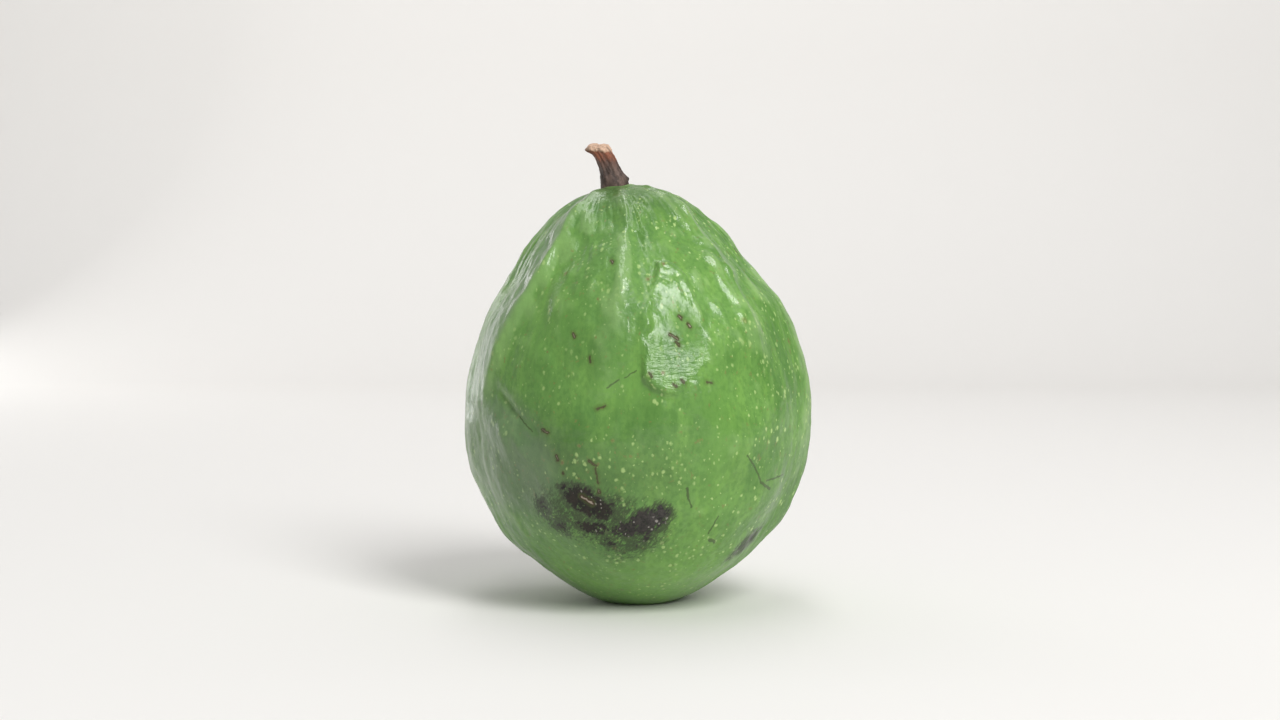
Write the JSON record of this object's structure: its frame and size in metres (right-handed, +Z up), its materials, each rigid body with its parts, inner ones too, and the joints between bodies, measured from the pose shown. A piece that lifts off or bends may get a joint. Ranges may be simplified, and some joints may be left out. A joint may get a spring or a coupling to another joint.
{
  "type": "avocado",
  "caption": "Large green smooth-skinned avocado, as picked: a blunt ribbed pear shape that stands on a small flat spot, with its leaning stub of woody stem.",
  "frame": {"origin": "middle of the small flat spot that the fruit rests on", "axes": "+Z up from the flat spot towards the stem; -Y towards the viewer; the stem leans towards -X"},
  "size_m": [0.0987, 0.0968, 0.1315],
  "materials": {
    "skin": "waxy, half-gloss green fruit skin with pale flecks, sheen and dark bruises",
    "bark": "dry grey-brown bark with a paler broken top"
  },
  "bodies": {
    "root": {"fruit": "skin", "stem": "bark"}
  },
  "joints": []
}
